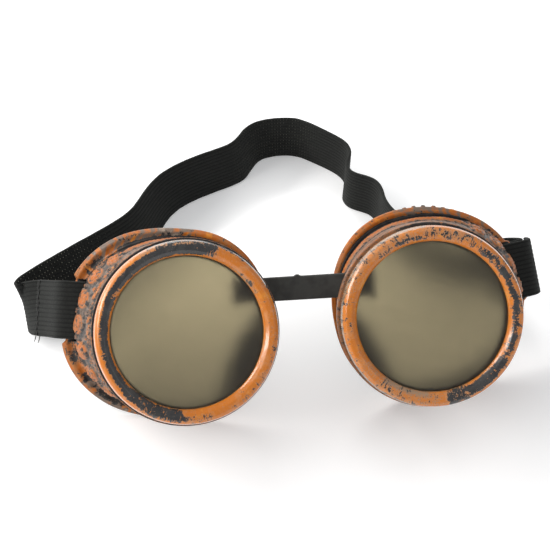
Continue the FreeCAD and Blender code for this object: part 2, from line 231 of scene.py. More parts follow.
def ring_noise(angle, fineness, along, seed):
    """value_noise round an axis: fineness is the radius of the circle on which angle is sampled."""
    return value_noise(polar(fineness, angle, along), seed)


def run_noise(run, fineness, row, seed):
    """value_noise along a length."""
    return value_noise(np.stack([run * fineness, run * 0 + row, run * 0], -1), seed)


def put(name, data):
    thing = bpy.data.objects.new(name, data)
    bpy.context.scene.collection.objects.link(thing)
    return thing


def put_mesh(name, verts, faces, material):
    """A smooth mesh object from points in millimetres."""
    mesh = bpy.data.meshes.new(name)
    mesh.from_pydata((np.asarray(verts) * MM).tolist(), [], faces)
    mesh.shade_smooth()
    mesh.materials.append(material)
    return put(name, mesh)


@contextmanager
def edited(mesh):
    work = bmesh.new()
    work.from_mesh(mesh)
    yield work
    work.to_mesh(mesh)
    work.free()


def surface(name, points, material, attributes=(), close_i=True, flip=False):
    """A quad mesh over a grid of points in millimetres, shape (i, j, 3), with per-point attributes."""
    ni, nj = points.shape[:2]
    i = np.arange(ni if close_i else ni - 1)
    ii, jj = np.meshgrid(i, np.arange(nj), indexing="ij")
    i2, j2 = (ii + 1) % ni, (jj + 1) % nj
    quads = np.stack([ii * nj + jj, i2 * nj + jj, i2 * nj + j2, ii * nj + j2], axis=-1).reshape(-1, 4)
    if flip:
        quads = quads[:, ::-1]
    piece = put_mesh(name, points.reshape(-1, 3), quads.tolist(), material)
    for key, values in dict(attributes).items():
        kind, field = ("FLOAT_VECTOR", "vector") if values.ndim == 3 else ("FLOAT", "value")
        layer = piece.data.attributes.new(key, kind, "POINT")
        layer.data.foreach_set(field, values.astype(np.float32).ravel())
    return piece


def rounded(corners, step=0.3):
    """A closed outline through (r, z, corner radius) points: straight runs joined by arcs, evenly sampled."""
    out = []
    n = len(corners)
    for k in range(n):
        p = np.array(corners[k][:2])
        radius = corners[k][2]
        before = np.array(corners[k - 1][:2]) - p
        after = np.array(corners[(k + 1) % n][:2]) - p
        lb, la = np.linalg.norm(before), np.linalg.norm(after)
        before, after = before / lb, after / la
        half = math.acos(max(-1, min(1, float(before @ after)))) / 2
        cut = min(radius / math.tan(half), 0.49 * lb, 0.49 * la)
        a, b = p + before * cut, p + after * cut
        steps = max(2, int(math.ceil(2 * cut / 0.12))) if cut > 1e-3 else 1
        for s in range(steps + 1):
            t = s / steps
            out.append((1 - t) ** 2 * a + 2 * t * (1 - t) * p + t * t * b)
    dense = []
    for k in range(len(out)):
        a, b = out[k], out[(k + 1) % len(out)]
        parts = max(1, int(math.ceil(np.linalg.norm(b - a) / step)))
        dense.extend(a + (b - a) * s / parts for s in range(parts))
    return np.array(dense)


def place_in_cup(piece, name, body):
    piece.data.transform(cup_matrix(name))
    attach(piece, body)


# ---- Node helpers ----
class Nodes:
    """Short calls for building one material's node tree."""

    def __init__(self, name):
        self.material = bpy.data.materials.new(name)
        self.material.use_nodes = True
        self.tree = self.material.node_tree
        self.shader = self.tree.nodes["Principled BSDF"]

    def add(self, kind, inputs=(), **settings):
        node = self.tree.nodes.new(kind)
        for key, value in settings.items():
            setattr(node, key, value)
        for key, value in dict(inputs).items():
            self.link(value, node.inputs[key])
        return node

    def link(self, value, socket):
        if isinstance(value, bpy.types.NodeSocket):
            self.tree.links.new(value, socket)
        else:
            socket.default_value = value

    def math(self, operation, a, b=0.0):
        return self.add("ShaderNodeMath", {0: a, 1: b}, operation=operation).outputs[0]

    def times(self, a, b):
        return self.math("MULTIPLY", a, b)

    def attribute(self, key, vector=False):
        node = self.add("ShaderNodeAttribute", attribute_name=key)
        return node.outputs["Vector" if vector else "Fac"]

    def place(self):
        """Object coordinates in millimetres."""
        return self.stretch(self.add("ShaderNodeTexCoord").outputs["Object"], (1 / MM,) * 3)

    def stretch(self, vector, factors):
        return self.add("ShaderNodeVectorMath", {0: vector, 1: factors}, operation="MULTIPLY").outputs[0]

    def noise(self, vector, scale=1.0, detail=3.0, rough=0.55, distortion=0.0):
        inputs = {"Vector": vector, "Scale": scale, "Detail": detail, "Roughness": rough,
                  "Distortion": distortion}
        return self.add("ShaderNodeTexNoise", inputs).outputs["Fac"]

    def sway(self, value, noise, amount):
        """value moved up and down by a noise from 0 to 1, times amount."""
        return self.math("ADD", value, self.times(self.math("SUBTRACT", noise, 0.5), amount))

    def wave(self, value, period):
        """A cosine of value, one cycle each period, from -1 to 1."""
        return self.math("COSINE", self.times(value, TAU / period))

    def ramp(self, value, low, high, reverse=False):
        inputs = {"Value": value, "From Min": low, "From Max": high,
                  "To Min": 1.0 if reverse else 0.0, "To Max": 0.0 if reverse else 1.0}
        return self.add("ShaderNodeMapRange", inputs, interpolation_type="SMOOTHSTEP").outputs["Result"]

    def mix(self, fac, a, b):
        return self.add("ShaderNodeMix", {"Factor": fac, "A": a, "B": b}, data_type="RGBA").outputs["Result"]

    def bump(self, height, distance, strength):
        inputs = {"Height": height, "Distance": distance, "Strength": strength}
        return self.add("ShaderNodeBump", inputs).outputs["Normal"]

    def set(self, **sockets):
        for key, value in sockets.items():
            self.link(value, self.shader.inputs[key.replace("_", " ").title().replace("Ior", "IOR")])


def colour(r, g, b):
    """An sRGB colour from 0-255 values, as a linear RGBA tuple."""
    linear = [((c / 255 + 0.055) / 1.055) ** 2.4 if c > 10 else c / 255 / 12.92 for c in (r, g, b)]
    return (*linear, 1.0)


# ---- Materials ----
AMBER = colour(214, 138, 36)


def painted(name, orange, worn, grey, pale, streak, rough, coat, roughness, gloss):
    """Copper paint rubbed over black plastic. The mesh says how much stays and how grey it is.

    orange is whole paint, worn is rubbed paint, and grey and pale are what it turns to as its grey grows. On
    the cups' flanges the pale is partly painted light, brightening where the lamps reach less.
    streak stretches the scratches; rough is how strongly scratches, specks and patches break the paint.
    coat, roughness and gloss are the weight of its clear coat, its lowest roughness and its specular level.
    """
    n = Nodes(name)
    strokes = n.noise(n.stretch(n.attribute("stroke", vector=True), streak), 1.0, 4.0, 0.6, 0.35)
    dots = n.noise(n.place(), 2.3, 5.0, 0.7)
    broad = n.noise(n.place(), 0.55, 2.0, 0.5)
    cover = n.attribute("paint")
    for grain, amount in zip((strokes, dots, broad), rough):
        cover = n.sway(cover, grain, amount)
    mask = n.ramp(cover, 0.42, 0.58)
    rub = n.times(n.ramp(cover, 0.58, 0.95, reverse=True), 0.55)
    patches = n.noise(n.place(), 0.22, 4.0, 0.62, 0.5)
    body = n.mix(n.ramp(patches, 0.5, 0.68), orange, n.mix(0.5, orange, worn))
    body = n.mix(n.ramp(patches, 0.32, 0.42, reverse=True), body, n.mix(0.5, orange, AMBER))
    body = n.mix(rub, body, worn)
    tone = n.sway(n.attribute("grey"), dots, 1.8)
    body = n.mix(n.ramp(tone, 0.3, 0.8), body, grey)
    body = n.mix(n.ramp(tone, 1.3, 1.8), body, pale)
    black = n.mix(n.ramp(patches, 0.35, 0.7), colour(36, 34, 35), colour(56, 54, 52))
    n.set(base_color=n.mix(mask, black, body), metallic=0.0)
    n.set(roughness=n.math("ADD", roughness, n.times(dots, 0.24)), specular_ior_level=gloss)
    n.set(coat_weight=coat, coat_roughness=0.12)
    skin = n.bump(n.math("ADD", n.times(mask, 0.5), n.times(dots, 0.5)), 0.00015, 0.8)
    n.set(normal=skin)
    return n.material


def elastic():
    """Black woven elastic: fine cross threads on ribs, painted shade in the grooves between them, and rows of
    pale rubber dots on the inner face.
    """
    n = Nodes("woven_elastic")
    weave = n.add("ShaderNodeSeparateXYZ")
    n.link(n.attribute("weave", vector=True), weave.inputs[0])
    along, across, inner = weave.outputs
    cross = n.wave(along, 0.62)
    thread = n.times(cross, n.wave(across, 0.77))
    fuzz = n.noise(n.place(), 1.8, 4.0, 0.65)
    base = n.mix(n.ramp(fuzz, 0.3, 0.7), colour(20, 21, 20), colour(33, 34, 32))
    lane = n.wave(across, BAND_W / RIBS)
    # Painted shade: the grooves between the ribs are darkened to stand in for the shade that falls in them.
    base = n.mix(n.ramp(lane, 0.2, 0.95), base, colour(14, 15, 14))
    row = n.ramp(lane, 0.75, 1.0)
    knot = n.ramp(n.wave(along, 1.25), 0.55, 0.95)
    some = n.ramp(n.noise(n.place(), 0.55, 2.0), 0.36, 0.56)
    dots = n.times(n.times(row, knot), n.times(inner, some))
    n.set(base_color=n.mix(n.times(dots, 0.75), base, colour(176, 176, 160)))
    n.set(roughness=0.86, specular_ior_level=0.25, sheen_weight=0.12, sheen_roughness=0.5)
    n.set(sheen_tint=colour(150, 152, 148))
    height = n.math("ADD", n.times(thread, 0.5), n.times(fuzz, 0.7))
    n.set(normal=n.bump(height, 0.00012, 0.7))
    return n.material


def moulded_vinyl():
    """The matte black bridge strip, with a fine moulded grain."""
    n = Nodes("moulded_vinyl")
    grain = n.noise(n.place(), 3.2, 4.0, 0.6)
    broad = n.noise(n.place(), 0.25, 2.0, 0.5)
    n.set(base_color=n.mix(n.ramp(broad, 0.35, 0.65), colour(44, 44, 42), colour(58, 58, 55)))
    n.set(roughness=n.math("ADD", 0.5, n.times(grain, 0.2)), specular_ior_level=0.4)
    n.set(normal=n.bump(grain, 0.00005, 0.6))
    return n.material


def tinted_lens():
    """Brown-green plastic with a faint haze, so that what lies behind it is soft."""
    n = Nodes("tinted_lens")
    dust = n.ramp(n.noise(n.place(), 1.1, 6.0, 0.7), 0.70, 0.78)
    n.set(base_color=n.mix(n.times(dust, 0.05), colour(166, 152, 120), colour(220, 216, 204)))
    n.set(transmission_weight=1.0, roughness=0.37, ior=1.45, specular_ior_level=0.5)
    return n.material


def clear_lens():
    n = Nodes("clear_backing_lens")
    haze = n.noise(n.place(), 0.3, 3.0)
    n.set(base_color=n.mix(n.ramp(haze, 0.3, 0.7), colour(240, 244, 240), colour(250, 252, 250)))
    n.set(transmission_weight=1.0, roughness=0.05, ior=1.2)
    return n.material


def plain_grain(name, dark, light, rough, scale):
    """A small part in two tones, broken by grain."""
    n = Nodes(name)
    grain = n.noise(n.place(), scale, 4.0, 0.6)
    n.set(base_color=n.mix(n.ramp(grain, 0.35, 0.65), dark, light), roughness=rough)
    n.set(normal=n.bump(grain, 0.00008, 0.6))
    return n.material


# ---- Bezel rings ----
# Paint zones: seen angle from, to (degrees), radius from, to (mm), how much paint is left there.
# 1 is whole, 0.5 is half gone and 0 is bare black. Later rows are painted over earlier ones.
BEZEL_PAINT = {
    "left": [(60, 100, 24.6, 31.0, 0.2), (74, 108, 27.5, 31.0, 0.52), (96, 150, 24.6, 27.3, -0.25),
             (139, 149, 24.0, 25.7, 0.95), (146, 232, 24.6, 26.7, -0.3), (70, 100, 24.7, 27.0, -0.3),
             (214, 256, 24.2, 27.2, -0.1), (226, 252, 24.2, 28.0, 0.12), (36, 68, 28.2, 31.0, 0.35),
             (20, 45, 24.4, 25.4, 0.55), (254, 276, 26.0, 28.0, 0.6), (288, 345, 26.4, 29.0, 0.86),
             (345, 30, 28.4, 31.0, 0.62), (104, 200, 27.6, 28.4, 1.3)],
    "right": [(98, 132, 24.8, 26.4, 0.4), (108, 160, 26.6, 28.8, 0.74), (58, 98, 24.8, 28.4, 0.7),
              (34, 56, 24.9, 27.4, 0.2), (0, 40, 25.2, 27.2, -0.05), (-34, 6, 25.0, 27.3, 0.12),
              (-76, -30, 24.5, 27.6, -0.15), (-78, -64, 24.0, 28.8, 0.2), (232, 274, 24.4, 28.6, 0.88),
              (238, 262, 26.2, 28.6, 0.75), (-40, 40, 27.2, 29.2, 0.78), (164, 214, 27.2, 28.4, 0.84),
              (140, 250, 28.5, 31.0, 0.55)],
}
# How grey or brown the paint is: seen angle from, to, radius from, to, tone.
BEZEL_GREY = {
    "left": [(66, 112, 27.4, 31.0, 0.55), (20, 45, 24.0, 25.2, 0.5), (330, 66, 28.5, 31.0, 0.6)],
    "right": [(64, 165, 25.8, 28.6, 0.42), (215, 300, 24.0, 28.6, 0.42), (234, 268, 24.0, 25.2, 0.75),
              (96, 256, 28.55, 31.0, 0.9)],
}
# The bezel's upright side: how much paint is left on it, and how grey it is.
BEZEL_SIDE = {"left": (0.18, 0.7), "right": (0.8, 0.5)}
BEZEL_ANGLES = 540


def bezel_outline():
    """The ring's section: lip, face, outer side, skirt, bore and lens pocket."""
    return rounded([
        (24.0, -1.7, 0.1), (24.0, -0.25, 0.25), (24.55, 0.35, 0.35), (25.6, 1.15, 0.9), (27.3, 1.3, 1.3),
        (28.4, 0.45, 1.1), (28.9, -1.3, 1.0), (28.9, -5.2, 0.35), (28.3, -5.2, 0.1), (28.3, -9.8, 0.3),
        (BEZEL_BORE_R, -9.8, 0.2), (BEZEL_BORE_R, -4.25, 0.1), (25.35, -4.25, 0.1), (25.35, -1.7, 0.1)], 0.25)


def paint_zones(rows, seen, r, start_level):
    """Paint levels laid over each other in soft-edged sectors of a ring."""
    level = start_level
    for start, stop, r_in, r_out, value in rows:
        half = np.mod(stop - start, 360) / 2
        off = np.abs(np.mod(seen - start - half + 180, 360) - 180)
        zone = ease(half + 3.0, half - 1.5, off)
        zone = zone * ease(r_in - 0.6, r_in + 0.4, r) * ease(r_out + 1.0, r_out - 0.8, r)
        level = level * (1 - zone) + value * zone
    return level


def helix_height(theta, z, first_z):
    """How far a thread's ridge stands out at each angle and height, 0 to 1."""
    height = np.zeros(np.broadcast(theta, z).shape)
    for turn in range(2):
        centre = first_z + PITCH * (theta / TAU + turn)
        inside = theta + turn * TAU <= THREAD_TURNS * TAU
        ridge = np.clip(1 - np.abs(z - centre) / THREAD_HALF, 0, 1)
        height = np.maximum(height, np.where(inside, ridge, 0))
    return height


def make_bezel(name, material):
    outline = bezel_outline()
    theta = np.arange(BEZEL_ANGLES) * TAU / BEZEL_ANGLES
    angle, r = np.meshgrid(theta, outline[:, 0], indexing="ij")
    z = np.broadcast_to(outline[:, 1], r.shape).copy()
    bore = (np.abs(r - BEZEL_BORE_R) < 0.05) & (z < -4.6)
    r = r - np.where(bore, THREAD_DEPTH * helix_height(angle, z, BEZEL_THREAD_Z), 0)
    face = ease(-2.5, 0.0, z)
    dents = value_noise(polar(r, angle, z) * (0.35, 0.35, 0.5), 11)
    z = z + 0.07 * dents * face
    seen = np.degrees(np.mod(angle + math.radians(CUPS[name]["roll"]), TAU))
    drift = ring_noise(angle, 6, r * 0.2, 5)
    front = ease(-2.3, -1.2, z)
    paint = paint_zones(BEZEL_PAINT[name], seen, r + 0.2 * drift, 1.22 + 0.12 * drift)
    grey = paint_zones(BEZEL_GREY[name], seen, r, 0.08 + 0.2 * drift)
    side_paint, side_grey = BEZEL_SIDE[name]
    ridge = hill(z + 4.75, 0.4) + hill(z + 1.7, 0.35)
    paint = front * paint + (1 - front) * (side_paint + 0.3 * drift + 0.8 * (1 - side_paint) * ridge)
    grey = front * grey + (1 - front) * (side_grey + 0.3 * drift)
    paint = np.where(z < -5.1, 0.1, paint)
    stroke = polar(27, angle, np.where(z > -2, r, -z + 27) * 0.45)
    piece = surface("bezel_ring_" + name + "_painted", polar(r, angle, z), material,
                    {"paint": paint, "grey": grey, "stroke": stroke})
    place_in_cup(piece, name, name + "_bezel")
    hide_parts("bezel_ring_" + name)


# ---- Eye cups ----
CUP_ANGLES = 640
# On the flange over the brow: how much more paint is left, and how much greyer and paler it is. The paleness
# is partly worn beige paint and partly painted light, brightening the flange where the lamps reach it less.
BROW_PAINT = {"left": (0.24, 1.35), "right": (0.3, 0.8)}
# The same paleness low on the temple side: partly worn beige paint, partly painted light.
FLANGE_LOW_PALE_AND_PAINTED_LIGHT = {"left": 1.2, "right": 0.5}
# The rear flange's temple side stands this much wider or narrower than the plain oval, mm.
FLANGE_SPREAD = {"left": 1.5, "right": -1.0}
# How far the inner wall leans in at the back of the lower nose side, mm.
NOSE_LEAN = 8.0
FLANGE_EDGE_R = 1.15
# Inside, the wall ends at this z, and these radii and z lead on to the bore's lip.
INSIDE_END_Z = -12.7
BORE = ((24.9, -12.6), (24.6, -12.3), (24.6, -6.2), (24.3, -5.95))
# Small bumps on the right flange's edge: middle and spread in degrees from the temple, how many would go
# round the whole edge, and height.
BUMPS_AT, BUMPS_SPREAD, BUMPS_ROUND, BUMPS_H = 76, 14, 62, 0.55
# The rope line stands at this share of the wall's depth; it has this many ribs. Fine lines run beside it.
ROPE_AT = 0.6
ROPE_RIBS = 150
LINE_PITCH = 1.15
# Medallions stand round the temple side, evenly spaced; the leaves fill the gaps between them.
MEDALLION_PITCH = 14.5
MEDALLION_HALF = (3.1, 6.8)
ARC_R = 31.5
# Leaves between two medallions: sideways shift (mm), share of the depth, size (mm), turn (radians).
SPRIGS = [(-1.4, 0.17, 3.4, 0.6), (1.4, 0.17, 3.4, -0.6), (0.0, 0.31, 2.4, 0.0), (3.9, 0.13, 2.4, 0.2),
          (-1.3, 0.9, 3.0, -0.5), (1.3, 0.9, 3.0, 0.5), (0.0, 0.78, 2.2, 0.0)]


def medallion(u, v, tilt):
    """An oval boss with a groove inside its rim and petals round its middle."""
    a, b = u + tilt * v, v - tilt * u
    across, along = MEDALLION_HALF
    d = np.hypot(a / across, b / along)
    spin = np.arctan2(b / along, a / across)
    rim = ease(1.04, 0.9, d)
    groove = hill(d - 0.68, 0.09)
    petals = 0.16 * np.cos(6 * spin) * hill(d - 0.4, 0.2)
    return rim * (0.72 + 0.28 * np.clip(1 - d ** 2, 0, 1) - 0.5 * groove + petals - 0.3 * hill(d, 0.12))


def leaf(u, v, size, turn):
    """A pointed leaf with a midrib and side veins."""
    a = u * math.cos(turn) + v * math.sin(turn)
    b = -u * math.sin(turn) + v * math.cos(turn)
    half = size * 0.42 * np.clip(1 - (b / size) ** 2, 0, 1)
    body = np.clip(1 - (a / np.maximum(half, 0.01)) ** 2, 0, 1) ** 0.5 * (half > 0.25)
    veins = 0.16 * np.cos(TAU * (b - 1.1 * np.abs(a)) / 1.5)
    return body * (0.75 + veins - 0.35 * hill(a, 0.35))


def temple_ornament(angle, depth, length):
    """The moulded pattern's height, 0 to about 1, at an angle and a depth behind the shoulder."""
    out = np.zeros(np.broadcast(angle, depth).shape)
    for k in range(-5, 6):
        at = math.radians(k * MEDALLION_PITCH)
        u = ARC_R * wrapped(angle - at)
        middle = 0.58 * length + 0.5 * (-1) ** k
        out = np.maximum(out, medallion(u, depth - middle, 0.12 * (-1) ** k))
        gap = u - ARC_R * math.radians(MEDALLION_PITCH / 2)
        for shift, along, size, turn in SPRIGS:
            out = np.maximum(out, 0.85 * leaf(gap - shift, depth - along * length, size, turn))
    return out


def oval_radius(half, angle, power):
    """The radius at an angle of an oval with four half sizes."""
    c, s = np.cos(angle), np.sin(angle)
    temple, nose, top, bottom = half
    w = np.where(c > 0, temple, nose)
    h = np.where(s > 0, top, bottom)
    return (np.abs(c / w) ** power + np.abs(s / h) ** power) ** (-1 / power)


def wall_radius(angle, step):
    """The outer wall's radius, smooth through the four ovals of the shell."""
    total = 0
    for k, (half, at) in enumerate(zip(WALL_HALF, WALL_STEPS)):
        share = 1.0
        for m, other in enumerate(WALL_STEPS):
            if m != k:
                share = share * (step - other) / (at - other)
        total = total + share * oval_radius(half, angle, 2.0 + (OVAL_POWER - 2.0) * at)
    return total


def flange_depth(x):
    """z of the middle of the tilted rear flange."""
    slope = (FLANGE_TEMPLE_DEPTH - FLANGE_NOSE_DEPTH) / (FLANGE_HALF[0] + FLANGE_HALF[1])
    return -FLANGE_NOSE_DEPTH - slope * (x + FLANGE_HALF[1])


def cup_front_outline():
    """Collar, recess and shoulder, from the bore's lip to the start of the wall."""
    corners = [(23.6, -5.95), (23.6, -4.55), (COLLAR_R, -4.55), (COLLAR_R, -10.3), (28.55, -10.3),
               (28.55, -5.9), (29.9, -5.9), (29.9, WALL_START_Z)]
    out = []
    for a, b in zip(corners, corners[1:]):
        a, b = np.array(a), np.array(b)
        length = np.linalg.norm(b - a)
        cut = min(0.3, length / 4)
        parts = max(3, int(length / 0.22))
        out.extend(a + (b - a) * (cut + (length - 2 * cut) * s / parts) / length for s in range(parts + 1))
    return np.array(out)


def from_temple(angle):
    """Degrees round from the temple axis, -180 to 180, positive towards the brow."""
    return np.degrees(wrapped(angle))


def temple_share(angle):
    """1 round the temple side, where the relief is, 0 round the brow and the nose."""
    off = from_temple(angle)
    return ease(56, 40, off) * ease(-88, -72, off)


def wall_relief(angle, depth, length):
    """Height of the wall's ornament, its paint and its grey, at depth mm behind the shoulder."""
    side = temple_share(angle)
    share = depth / length
    ornament = temple_ornament(angle, depth, length)
    ground = ring_noise(angle, 22, depth * 0.7, 3)
    fine = ring_noise(angle, 55, depth * 1.7, 4)
    ornament = ornament + 0.1 * ground + 0.06 * fine
    rope_at = ROPE_AT * length
    rope = hill(depth - rope_at, 1.1)
    ribs = rope * np.cos(angle * ROPE_RIBS + depth * 2.4)
    lines = np.cos(TAU * depth / LINE_PITCH)
    channel = ease(rope_at + 1.0, rope_at + 2.0, depth)
    line = hill(depth - rope_at + 2.0, 0.5)
    plain = 0.8 * rope + 0.07 * ribs + 0.06 * lines * (1 - channel)
    plain = plain - 0.5 * channel * ease(1.0, 0.86, share) - 0.3 * line
    height = side * (1.3 * ornament - 0.25) + (1 - side) * plain
    height = height * ease(0.0, 0.05, share) * ease(1.0, 0.93, share)
    patch = ring_noise(angle, 9, depth * 0.2, 6)
    scratch = ring_noise(angle, 42, depth * 0.45, 9)
    paint_relief = 0.5 + 0.3 * np.clip(ornament, 0, 1) + 0.16 * ground + 0.12 * patch + 0.34 * scratch
    paint_plain = 0.74 + 0.24 * rope + 0.05 * ribs + 0.06 * lines + 0.2 * scratch
    paint_plain = paint_plain - 0.95 * channel - 0.6 * line
    grey_relief = 0.98 - 0.92 * np.clip(ornament * 1.1, 0, 1) + 0.3 * patch
    grey_plain = 0.66 - 0.4 * rope
    paint = side * paint_relief + (1 - side) * paint_plain
    groove, bright_line = hill(depth, 0.95), hill(depth - 2.0, 0.42)
    paint = paint + side * (0.55 * bright_line - 1.0 * groove)
    grey = side * grey_relief + (1 - side) * grey_plain + 0.7 * side * bright_line
    return height, paint, grey


def nose_lean(angle):
    """How far round the lower nose side an angle is, 1 in its middle: the inner wall leans in there."""
    off = np.degrees(np.abs(wrapped(angle - math.radians(203))))
    return ease(48, 10, off)


def cup_grid(name):
    """Points, paint, grey and stroke of one cup shell, in its own frame before mirroring."""
    theta = np.arange(CUP_ANGLES) * TAU / CUP_ANGLES
    column = theta[:, None]
    cos, sin = np.cos(column), np.sin(column)
    radii, heights, paints, greys = [], [], [], []

    def add(r, z, paint, grey):
        shape = np.broadcast_shapes(r.shape, z.shape, (CUP_ANGLES, 1))
        radii.append(np.broadcast_to(r, shape))
        heights.append(np.broadcast_to(z, shape))
        paints.append(np.broadcast_to(paint, shape))
        greys.append(np.broadcast_to(grey, shape))

    front = cup_front_outline()
    r, z = np.broadcast_to(front[:, 0], (CUP_ANGLES, len(front))), front[:, 1][None, :]
    own = np.mod(np.pi - column, TAU) if CUPS[name]["side"] < 0 else column
    on_collar = (np.abs(r - COLLAR_R) < 0.02) & (z < -4.7) & (z > -10.2)
    r = r + np.where(on_collar, THREAD_DEPTH * helix_height(own, z + 0 * own, COLLAR_THREAD_Z), 0)
    turned = from_temple(column)
    black = ease(-60, -40, turned) * ease(105, 85, turned) if name == "right" else 1.0
    lip = np.maximum(ease(29.6, 29.85, r), (1 - black) * ease(28.5, 28.8, r))
    add(r, z, 0.05 + 0.7 * lip, 0.3 + 0.25 * lip)

    beside_strap = ease(10.5, 11.8, np.abs(FLANGE_HALF[0] * sin - STRAP_SLOT_Y))
    rim = oval_radius(FLANGE_HALF, column, OVAL_POWER)
    rim = rim + FLANGE_SPREAD[name] * beside_strap * ease(95, 45, np.abs(turned))
    last_z = flange_depth(wall_radius(column, 1.0) * cos)
    step_end = 1 - (FLANGE_T / 2) / (WALL_START_Z - last_z)
    t = np.linspace(0.0, 1.0, 84)[None, :] * step_end
    wall = wall_radius(column, t)
    wall_z = WALL_START_Z + t * (flange_depth(wall * cos) - WALL_START_Z)
    height, paint, grey = wall_relief(column + 0 * t, WALL_START_Z - wall_z, WALL_START_Z - last_z)
    add(wall + height, wall_z, paint, grey)

    foot = wall_radius(column, 1.0)
    share = np.linspace(0.0, 1.0, 22)[None, 1:]
    reach = foot + (rim - FLANGE_EDGE_R - foot) * share
    bead = 0.45 * hill(rim - 1.7 - reach, 1.0) + 0.55 * ease(0.25, 0.0, share)
    smear = ring_noise(column, 7, reach * 0.3, 8)
    face_z = flange_depth(reach * cos) + FLANGE_T / 2 + bead + 0.08 * smear
    side = temple_share(column)
    brow = ease(28, 44, turned) * ease(98, 86, turned)
    low = ease(-22, -42, turned) * ease(-100, -84, turned)
    feather = 1.6 * ring_noise(column, 34, reach * 0.3, 12) * hill(share - 0.42, 0.5)
    more_paint, pale_and_painted_light = BROW_PAINT[name]
    level = 0.62 + 0.22 * smear + 0.3 * ease(0.2, 0.6, share) * (1 - brow) * (1 - 0.7 * side)
    level = level + more_paint * brow + np.maximum(side, 0.8 * brow) * (0.34 * feather - 0.14)
    level = level - (1 - side) * 0.9 * ease(0.42, 0.22, share)
    slant = np.stack([26 * cos + 0.8 * reach, 26 * sin - 0.8 * reach, 0.3 * reach], -1)
    broken = np.clip(0.5 + 1.1 * value_noise(slant, 13), 0.0, 1.5)
    # Painted light, in part: the flange turns pale over the brow and low on the temple side, as worn beige
    # paint and as brightening where the lamps reach it less.
    pale = (pale_and_painted_light * brow + FLANGE_LOW_PALE_AND_PAINTED_LIGHT[name] * low) * broken
    tone = 0.12 + pale - 0.3 * smear + 0.3 * side * (1 - share)
    add(reach, face_z + 0.22 * side * feather, level, tone)

    turn = np.linspace(math.pi / 2, -math.pi / 2, 13)[None, 1:-1]
    bumps = hill(turned - BUMPS_AT, BUMPS_SPREAD) * (np.cos(column * BUMPS_ROUND) > 0.35) * (name == "right")
    edge = rim - FLANGE_EDGE_R + (FLANGE_EDGE_R + BUMPS_H * bumps * (turn < 0.3)) * np.cos(turn)
    edge_z = flange_depth(edge * cos) + (FLANGE_T / 2) * np.sin(turn)
    level = 0.84 + (more_paint - 0.1) * brow - 0.7 * ease(0.1, -0.8, turn) - 0.5 * bumps * (turn < 0.4)
    add(edge, edge_z, level, 0.2 + pale[:, -1:])

    inner = foot - WALL_T - NOSE_LEAN * nose_lean(column)
    back = rim - FLANGE_EDGE_R + (inner + 0.4 - rim + FLANGE_EDGE_R) * np.linspace(0, 1, 9)[None, :]
    add(back, flange_depth(back * cos) - FLANGE_T / 2, 0.08, 0.5)

    t = np.linspace(1.0, 0.04, 20)[None, :]
    inside = wall_radius(column, t) - WALL_T - NOSE_LEAN * nose_lean(column) * ease(0.2, 1.0, t)
    inside_z = np.minimum(WALL_START_Z + t * (flange_depth(inside * cos) - WALL_START_Z), INSIDE_END_Z)
    add(inside, inside_z, 0.02, 0.5)

    for r_end, z_end in BORE:
        add(np.array([[r_end]]), np.array([[z_end]]), 0.02, 0.5)

    r, z = np.concatenate(radii, 1), np.concatenate(heights, 1)
    paint, grey = np.concatenate(paints, 1), np.concatenate(greys, 1)
    along = np.concatenate([[0], np.cumsum(np.hypot(np.diff(r.mean(0)), np.diff(z.mean(0))))])
    return polar(r, column, z), paint, grey, polar(30, column, along * 0.8)


def cutter_box(centre, axes, size):
    """A box to cut a slot with, in the cup frame, all in millimetres."""
    mesh = bpy.data.meshes.new("cutter")
    turn = Matrix([[axes[c][r] * size[c] for c in range(3)] for r in range(3)])
    with edited(mesh) as box:
        bmesh.ops.create_cube(box, size=1.0)
        for v in box.verts:
            v.co = (turn @ v.co + Vector(centre)) * MM
        bmesh.ops.recalc_face_normals(box, faces=box.faces)
    return put("cutter", mesh)


def cut(piece, cutter):
    modifier = piece.modifiers.new("cut", "BOOLEAN")
    modifier.operation = "DIFFERENCE"
    modifier.object = cutter
    modifier.solver = "MANIFOLD"
    dg = bpy.context.evaluated_depsgraph_get()
    cut_mesh = bpy.data.meshes.new_from_object(piece.evaluated_get(dg))
    piece.modifiers.clear()
    piece.data = cut_mesh
    bpy.data.objects.remove(cutter)


def drop_crumbs(piece):
    """Keep only the largest connected part of a piece: cutting the slots can leave loose bits."""
    with edited(piece.data) as work:
        loose = set(work.verts)
        parts = []
        while loose:
            part = [loose.pop()]
            for v in part:
                others = {edge.other_vert(v) for edge in v.link_edges} & loose
                loose -= others
                part.extend(others)
            parts.append(part)
        keep = set(max(parts, key=len))
        bmesh.ops.delete(work, geom=[v for v in work.verts if v not in keep], context="VERTS")


def bridge_frame():
    """The bridge's mouths and its directions along, across and through, in the row frame."""
    left, right = (to_table(side, BRIDGE_POINT) for side in ("left", "right"))
    along = (right - left).normalized()
    up = cup_axes("left")[1] + cup_axes("right")[1]
    across = (up - along * up.dot(along)).normalized()
    return left, right, along, across, along.cross(across)


